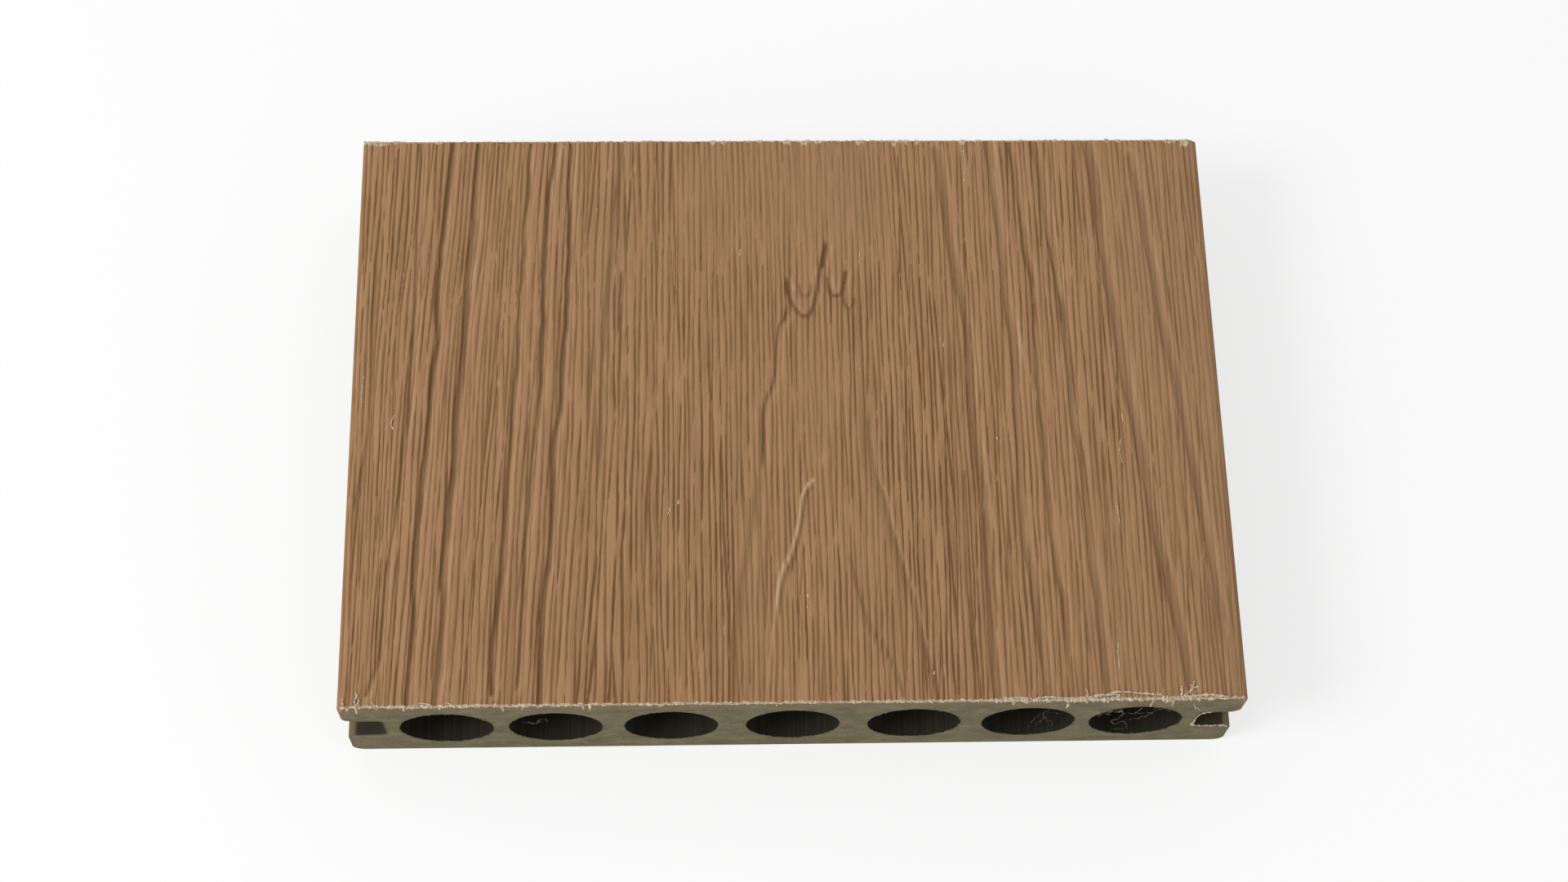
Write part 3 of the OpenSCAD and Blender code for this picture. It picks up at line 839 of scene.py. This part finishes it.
# Threads torn off the near edge that lie on the face, each with its heft
FACE_THREADS = [
    (0.9, [(31.5, 0.5), (32.4, 0.2), (34, 0.4), (36, 0.1), (38.6, 0.4), (41, 0.2), (44, 0.3),
      (46.4, 0.6), (48, 0.9), (50, 1.1), (53, 0.8), (55, 0.6), (57, 0.2), (60, 0.3), (63, 0.5),
      (66, 0.2)]),
    (0.7, [(44.9, 0.1), (46.7, 0.5), (48.3, 0.7), (49.4, 0.4), (47.8, 0.1)]),
    (0.8, [(58.8, 0.2), (60.2, 1.2), (60.6, 1.9), (60.9, 2.7)]),
    (0.6, [(60.2, 1.2), (60.9, 1.7), (61.4, 1.9)]), (0.6, [(60.6, 1.9), (60.2, 2.2)]),
    (0.7, [(44.3, 0.3), (44.4, 0.9), (44.2, 1.7)]), (0.8, [(58.6, 0.2), (58.8, 0.9), (58.9, 1.9)]),
    (0.5, [(54.6, 0.2), (55.1, 0.9), (55.2, 1.2)]),
    (0.7, [(-66.1, 0.2), (-66.2, 1.1), (-65.9, 1.7), (-66.2, 2.4)]),
    (0.9, [(-65.8, 0.2), (-65.6, 1.1)]), (0.9, [(-67.9, 0.3), (-68.1, 0.9), (-68.0, 1.3)]),
    (0.7, [(-63.4, 0.2), (-63.6, 0.8)]), (0.6, [(-57.4, 0.1), (-56.3, 0.5), (-54.9, 0.2)]),
    (0.5, [(-53.1, 0.1), (-52.5, 0.5), (-51.6, 0.2)])]
# Pale flecks pressed into the grain
FLECKS = [
    (0.8, [(-62.1, 45.3), (-62.5, 46.4), (-62.1, 47.7)]),
    (0.5, [(-67.2, 48.7), (-67.3, 51), (-67.1, 54.4)]), (0.9, [(-17.5, 32.4), (-17.4, 33.1)]),
    (0.9, [(-18.9, 31.1), (-18.8, 31.8)]), (0.8, [(-19.2, 30.4), (-19.0, 31)]),
    (1.0, [(2.4, 16.7), (2.3, 17.2)]), (0.9, [(2.2, 15.1), (2.3, 15.6)]),
    (0.6, [(12.0, 74.0), (12.2, 76.2)]), (0.9, [(53.1, 45.7), (53.0, 47.3)]),
    (0.6, [(52.4, 38.7), (52.2, 41), (52.5, 43)]), (0.5, [(51.3, 28), (51.2, 30), (51.1, 32)]),
    (0.6, [(49.6, 4.8), (49.5, 7), (49.7, 9)]), (0.8, [(32.9, 42.8), (32.8, 43.4)]),
    (0.8, [(21.2, 4.2), (21.3, 4.8)]), (0.5, [(29.9, 89), (30.2, 92), (30.0, 95)]),
    (0.6, [(-7.3, 75.6), (-7.2, 76.8)]), (0.5, [(25.1, 59.1), (25.2, 60.0)]),
    (0.5, [(-30.6, 83.6), (-30.5, 84.3)])]
# Torn threads and scraps in the chambers' near mouths and round the right groove: heft, how deep inside
# the mouth they start and end, and their route as (x, z)
MOUTH_THREADS = [
    (1.3, 0.4, 0.9, [(46.9, 14.4), (48.1, 15.6), (49.6, 15.8), (50.4, 15.1)]),
    (1.6, 0.3, 0.6, [(49.0, 15.9), (50.0, 15.6), (50.8, 15.7)]),
    (0.9, 0.5, 1.5, [(47.2, 13.4), (48.6, 14.1), (49.4, 13.2)]),
    (0.5, 0.8, 1.5, [(51.0, 17.5), (50.7, 16.0), (51.3, 14.5), (53.0, 14.3), (54.0, 17.2)]),
    (0.5, 1.0, 1.6, [(51.3, 14.5), (51.1, 12.4), (50.0, 10.0), (51.0, 8.0), (52.0, 10.0), (53.0, 7.2)]),
    (0.5, 0.8, 0.4, [(50.5, 6.6), (51.6, 6.4), (53.0, 6.6)]),
    (0.4, 1.6, 2.4, [(53.4, 14.3), (55.2, 13.8), (57.4, 15.6)]),
    (0.5, 0.9, 1.4, [(55.6, 16.6), (57.3, 16.4), (58.8, 14.9)]),
    (0.4, 1.2, 1.8, [(52.6, 10.9), (54.6, 11.8), (56.2, 13.6)]),
    (0.3, 1.4, 2.4, [(40.0, 17.3), (38.9, 14.8), (39.4, 11.2), (38.6, 8.4), (39.0, 5.2)]),
    (0.25, 1.8, 2.8, [(38.6, 14.0), (37.9, 11.0), (37.5, 6.0)]),
    (0.25, 1.6, 2.2, [(39.5, 15.0), (40.8, 14.3), (42.0, 14.2)]),
    (0.25, 1.6, 2.2, [(39.3, 11.4), (40.6, 10.2), (41.2, 8.0)]),
    (0.7, 0.8, 1.1, [(-39.6, 12.6), (-38.9, 13.9), (-39.3, 14.8)]),
    (0.5, 0.8, 1.2, [(-39.0, 14.0), (-38.1, 14.6), (-37.9, 13.1)]),
    (0.5, 0.8, 1.2, [(-41.6, 12.9), (-40.2, 12.6), (-38.8, 12.9)])]
# The chipped, whitened edge of the right groove's mouth, in the same form
RIM_THREADS = [
    (0.8, -0.05, -0.05, [(64.8, 15.0), (63.3, 14.4), (62.8, 12.6), (62.8, 9.4), (63.1, 8.0)]),
    (1.1, -0.05, -0.05, [(62.9, 9.8), (62.6, 8.7), (63.2, 7.9)]),
    (0.6, -0.05, -0.05, [(63.1, 8.0), (64.6, 7.7), (66.6, 7.8)]),
    (1.1, -0.05, 0.1, [(66.4, 7.8), (67.6, 7.9), (68.4, 7.6)]),
    (0.6, 0.0, 0.0, [(61.0, 19.4), (61.8, 17.7), (62.6, 16.2)]),
    (0.9, 0.0, 0.0, [(61.6, 18.0), (62.0, 17.3), (61.7, 16.8)])]


def near_edge_paths():
    line = edge_line(0.0, 0.02, 0.10)
    heft = lumps(line[:, 0], NEAR_LUMPS) * (1 + 0.45 * ripple(line[:, 0], 0.8, 41))
    return [(line, np.clip(heft, 0.3, 2.6))]


def tooth_paths():
    paths = []
    for x, out, drop, lean in TEETH:
        share = np.linspace(0, 1, 5)[:, None]
        start = np.array([x, -HALF_L + 0.1, TOP - 0.35])
        tip = np.array([x + lean, -HALF_L - out, TOP - 0.35 - drop])
        bend = np.array([0.1, -0.15, 0.12]) * np.sin(math.pi * share)
        heft = (1.4 - 0.9 * share[:, 0]) * (0.7 + 0.4 * out)
        paths.append((start + (tip - start) * share + bend, heft))
    return paths


def far_edge_paths():
    line = edge_line(2 * HALF_L, -0.30, 0.06)
    places = [(x, half + 0.25, 0.8) for x, half, _ in FAR_PATCHES]
    heft = 0.6 * lumps(line[:, 0], places) * (1 + 0.5 * ripple(line[:, 0], 0.8, 42))
    return [(line, np.clip(heft, 0.3, 1.7))]


def far_patch_paths():
    rng = np.random.default_rng(43)
    paths = []
    for x, half, reach in FAR_PATCHES:
        for k in range(2 + round(5 * half)):
            start = x + rng.uniform(-half, half)
            length = reach * rng.uniform(0.35, 1.0)
            route = [(start, 2 * HALF_L - 0.15),
                     (start + rng.uniform(-0.2, 0.2), 2 * HALF_L - 0.5 * length),
                     (start + rng.uniform(-0.3, 0.3), 2 * HALF_L - length)]
            paths.append((on_face(route, 0.03), rng.uniform(0.5, 1.1)))
    return paths


def face_paths(threads, lift):
    return [(on_face(route, lift), heft) for heft, route in threads]


def mouth_paths(threads):
    paths = []
    for heft, begin, end, route in threads:
        places = rounded_route(route)
        deep = np.linspace(begin, end, len(places)) * 0.5
        route = np.stack([places[:, 0], deep - HALF_L, places[:, 1] - 2.2 * deep], axis=1)
        paths.append((route, heft * 1.15))
    return paths


def rim_paths():
    """The frayed rim of each chamber, at both sawn ends."""
    paths = []
    for number in range(1, len(CHAMBERS) + 1):
        x, z = chamber_centre(number)
        for end in (-1, 1):
            turn = np.linspace(0, 2 * math.pi, 73)
            seed = number + end
            frayed = ripple(7.0 * np.sin(turn) + 3 * number, 1.4, 50 + seed, 9.0)
            radius = CHAMBER_R + 0.04 - 0.05 * (1 + frayed)
            heft = 0.75 + 0.5 * ripple(8.0 * np.cos(turn) - 2 * number, 0.9, 60 + seed, 9.0)
            y = np.full_like(turn, end * (HALF_L - 0.06))
            rim = np.stack([x + radius * np.cos(turn), y, z + radius * np.sin(turn)], axis=1)
            paths.append((rim, heft))
    return paths


# What is torn off the cap is pale, and what is torn off the core is olive
TORN_FINISHES = {
    "grained_cap": torn_material("torn_pale_finish", TORN_PALE, TORN_TAN),
    "wood_plastic_core": torn_material("torn_olive_finish", SCRAP_OLIVE, SCRAP_PALE)}
strand_tree, chip_tree, chips = torn_strand_tree(), chips_tree(), chip_shapes()


def strands(name, slot, paths, thickness, wander, lump, seed, step=0.12):
    """Torn strands on the paths, and their material slot."""
    piece = grown(name, strand_tree, paths, {
        "Step": step * MM, "Thickness": thickness * MM, "Wander": wander * MM, "Lumps": lump * MM,
        "Seed": float(seed), "Finish": TORN_FINISHES[slot]})
    return piece, slot


def scraps(name, slot, paths, spacing, smallest, largest, spread, seed):
    """Torn chips along the paths, and their material slot."""
    piece = grown(name, chip_tree, paths, {
        "Chips": chips, "Spacing": spacing * MM, "Smallest": smallest * MM, "Largest": largest * MM,
        "Spread": [s * MM for s in spread], "Seed": seed, "Finish": TORN_FINISHES[slot]})
    return piece, slot


torn_pieces = [
    strands("near_burr", "grained_cap", near_edge_paths() + tooth_paths(), 0.15, 0.15, 0.09, 1),
    scraps("near_burr_chips", "grained_cap", near_edge_paths(), 0.38, 0.2, 0.58, (0.15, 0.17, 0.12), 2),
    strands("face_threads", "grained_cap", face_paths(FACE_THREADS, 0.10), 0.17, 0.12, 0.07, 3),
    strands("face_flecks", "grained_cap", face_paths(FLECKS, 0.02), 0.13, 0.03, 0.04, 4),
    strands("far_burr", "grained_cap", far_edge_paths() + far_patch_paths(), 0.13, 0.08, 0.05, 5),
    scraps("far_burr_chips", "grained_cap", far_edge_paths(), 0.5, 0.22, 0.5, (0.15, 0.12, 0.08), 6),
    strands("chamber_threads", "wood_plastic_core", mouth_paths(MOUTH_THREADS), 0.10, 0.28, 0.05, 7),
    strands("groove_rim", "grained_cap", mouth_paths(RIM_THREADS), 0.11, 0.15, 0.10, 9),
    strands("chamber_rims", "wood_plastic_core", rim_paths(), 0.09, 0.08, 0.03, 8, step=0.3)]
for shape in list(chips.objects):
    bpy.data.objects.remove(shape)
bpy.data.collections.remove(chips)


# Stage, light and camera.

def stage_material(name, colour, share=0.7):
    """A matte white that the camera sees partly as plain white, so that the shadow stays pale."""
    material, tree, shader = matte_material(name, specular=0.0)
    shader.inputs["Base Color"].default_value = colour
    shader.inputs["Roughness"].default_value = 0.9
    white = tree.add("ShaderNodeEmission", {"Color": (1, 1, 1, 1), "Strength": 1.0})
    rays = tree.nodes.new("ShaderNodeLightPath")
    camera, glossy, through = (Wire(tree, rays.outputs[f"Is {kind} Ray"])
                               for kind in ("Camera", "Glossy", "Transmission"))
    # Far from the object it is all plain white, so no horizon shows
    point = tree.place()[0]
    away = tree.vector_math("LENGTH", point, output=1)
    seen = (camera + glossy + through).clamped()
    amount = seen * (share + (1 - share) * away.between(0.2, 1.5))
    shown = tree.add("ShaderNodeMixShader", {0: amount, 1: Wire(tree, shader.outputs[0]), 2: white})
    tree.links.new(shown.socket, tree.nodes["Material Output"].inputs["Surface"])
    return material


def make_floor(size=6.0):
    corners = [(-size, -size, 0), (size, -size, 0), (size, size, 0), (-size, size, 0)]
    paint_white = stage_material("floor_paint", FLOOR_WHITE)
    floor = plain_mesh("floor", np.array(corners) / MM, [(0, 1, 2, 3)], paint_white)
    floor.data.transform(Matrix.Translation((0, 0, -0.00002)))


def soft_lamp(name, place, target, size, power):
    light = bpy.data.lights.new(name, "AREA")
    light.shape, light.size, light.energy = "DISK", size, power
    lamp = in_scene(name, light)
    lamp.location = place
    lamp.rotation_euler = (Vector(target) - Vector(place)).to_track_quat("-Z", "Y").to_euler()


def make_world(strength):
    world = bpy.data.worlds.new("studio")
    world.use_nodes = True
    bpy.context.scene.world = world
    tree = Tree(world.node_tree.nodes, world.node_tree.links)
    rays = world.node_tree.nodes.new("ShaderNodeLightPath")
    seen = Wire(tree, rays.outputs["Is Camera Ray"])
    background = world.node_tree.nodes["Background"]
    background.inputs["Color"].default_value = (1, 1, 1, 1)
    tree.links.new((strength + seen * (1 - strength)).socket, background.inputs["Strength"])


# The camera was fitted to the corners of the grained face and to the chambers' outlines.
CAMERA_PLACE = Vector((-15.9, -HALF_L - 115.2, 396.4)) * MM
CAMERA_YAW, CAMERA_PITCH, CAMERA_ROLL = (math.radians(a) for a in (5.45, 67.0, 4.61))
CAMERA_LENS = 59.27


def make_camera():
    data = bpy.data.cameras.new("camera")
    data.lens, data.sensor_width = CAMERA_LENS, 36.0
    data.clip_start, data.clip_end = 0.01, 50
    camera = in_scene("camera", data)
    camera.matrix_world = (
        Matrix.Translation(CAMERA_PLACE) @ Matrix.Rotation(-CAMERA_YAW, 4, "Z")
        @ Matrix.Rotation(math.pi / 2 - CAMERA_PITCH, 4, "X") @ Matrix.Rotation(CAMERA_ROLL, 4, "Z"))
    bpy.context.scene.camera = camera


bpy.context.scene.view_settings.view_transform = "Standard"
make_floor()
make_world(0.60)
soft_lamp("key_lamp", (-0.80, -0.30, 0.85), (0, 0, 0), 0.5, 7.6)
make_camera()


# What rides on what.

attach(grained_cap, "root")
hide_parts("cap")
for piece, slot in torn_pieces:
    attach(piece, "root")
